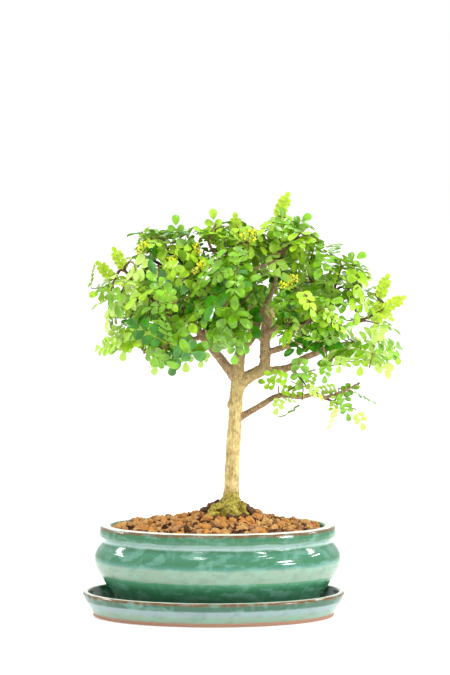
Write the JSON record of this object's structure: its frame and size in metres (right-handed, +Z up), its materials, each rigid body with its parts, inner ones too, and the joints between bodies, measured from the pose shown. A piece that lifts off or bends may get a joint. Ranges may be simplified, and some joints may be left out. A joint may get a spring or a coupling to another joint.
{
  "type": "potted bonsai tree",
  "caption": "Small potted tree with a leaning bare trunk, spreading boughs and an airy crown of divided leaves, in an oval glazed pot that stands in a matching oval drip tray.",
  "frame": {"origin": "middle of the drip tray's flat underside", "axes": "+X along the pot's long side to the right, -Y towards the viewer of the front, +Z up"},
  "size_m": [0.2696, 0.2014, 0.353],
  "materials": {
    "tray_glaze": "glossy mottled green and pale blue-green glaze over an unglazed reddish base",
    "pot_glaze": "glossy mottled green and teal glaze",
    "soil": "dry orange-brown baked clay granules",
    "bark": "smooth tan bark with fine ridges, mossy at the foot",
    "bough_bark": "smooth brown bark with knots",
    "leaf": "glossy green leaves, lime at the tips"
  },
  "bodies": {
    "root": {"tray": "tray_glaze", "pot": "pot_glaze", "soil": "soil", "trunk": "bark", "left_bough": "bough_bark", "leader": "bough_bark", "right_bough": "bough_bark", "right_upright": "bough_bark", "right_outer_bough": "bough_bark", "low_bough": "bough_bark", "heart_arm": "bough_bark", "left_arm": "bough_bark", "left_low_arm": "bough_bark", "left_front_arm": "bough_bark", "left_back_arm": "bough_bark", "top_arm": "bough_bark", "peak_arm": "bough_bark", "back_arm": "bough_bark", "front_arm": "bough_bark", "right_front_arm": "bough_bark", "right_back_arm": "bough_bark", "right_arm": "bough_bark", "crown_arm": "bough_bark", "inner_arm": "bough_bark", "left_tip_foliage": "leaf", "left_lower_foliage": "leaf", "left_front_foliage": "leaf", "left_back_foliage": "leaf", "left_crown_foliage": "leaf", "heart_foliage": "leaf", "front_foliage": "leaf", "back_foliage": "leaf", "top_foliage": "leaf", "peak_foliage": "leaf", "right_front_foliage": "leaf", "right_back_foliage": "leaf", "right_crown_foliage": "leaf", "right_tip_foliage": "leaf", "right_lower_foliage": "leaf", "inner_right_foliage": "leaf", "low_foliage": "leaf"}
  },
  "joints": []
}
